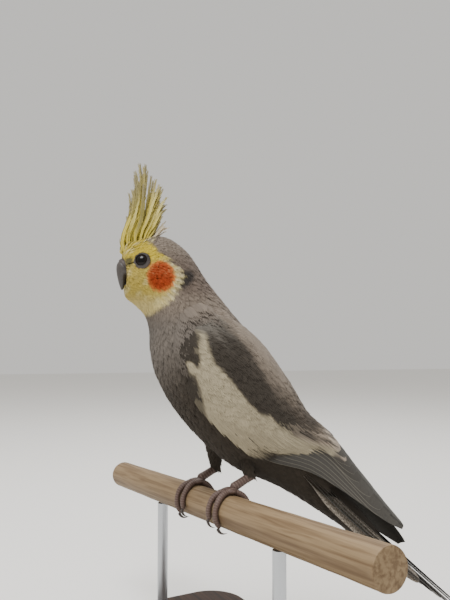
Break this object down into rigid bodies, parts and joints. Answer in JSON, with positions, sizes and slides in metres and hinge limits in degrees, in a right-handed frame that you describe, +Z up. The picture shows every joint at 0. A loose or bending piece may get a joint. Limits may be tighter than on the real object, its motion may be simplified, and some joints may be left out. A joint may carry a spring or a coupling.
{
  "type": "cockatiel on a perch",
  "caption": "Life-size still cockatiel with raised crest, folded wings and long tail, gripping a short round perch on a plain two-rod display stand.",
  "frame": {"origin": "centre of the stand base's underside, straight below the perch's axis between the feet", "axes": "+Z up, -X the way the bird looks, -Y its left side"},
  "size_m": [0.2287, 0.2546, 0.2634],
  "materials": {
    "grey_feathers": "soft brown-grey contour feathers",
    "face_feathers": "short yellow feathers with an orange cheek patch",
    "flight_feathers": "smooth dark grey vanes with a white wing patch",
    "bill_horn": "satin grey horn",
    "eye": "wet dark brown",
    "foot_skin": "small grey-pink scales",
    "perch_wood": "bare turned wood",
    "stand_wood": "dark satin-varnished wood",
    "stand_steel": "satin steel rod"
  },
  "bodies": {
    "root": {"head": "face_feathers", "eye_left": "eye", "eye_right": "eye", "beak_upper": "bill_horn", "beak_lower": "bill_horn", "neck": "grey_feathers", "torso": "grey_feathers", "tail": "flight_feathers", "wing_left": "flight_feathers", "wing_right": "flight_feathers", "leg_left": "grey_feathers", "leg_right": "grey_feathers", "foot_left": "foot_skin", "foot_right": "foot_skin", "perch": "perch_wood", "stand_base": "stand_wood", "stand_rod_front": "stand_steel", "stand_rod_back": "stand_steel"}
  },
  "joints": []
}
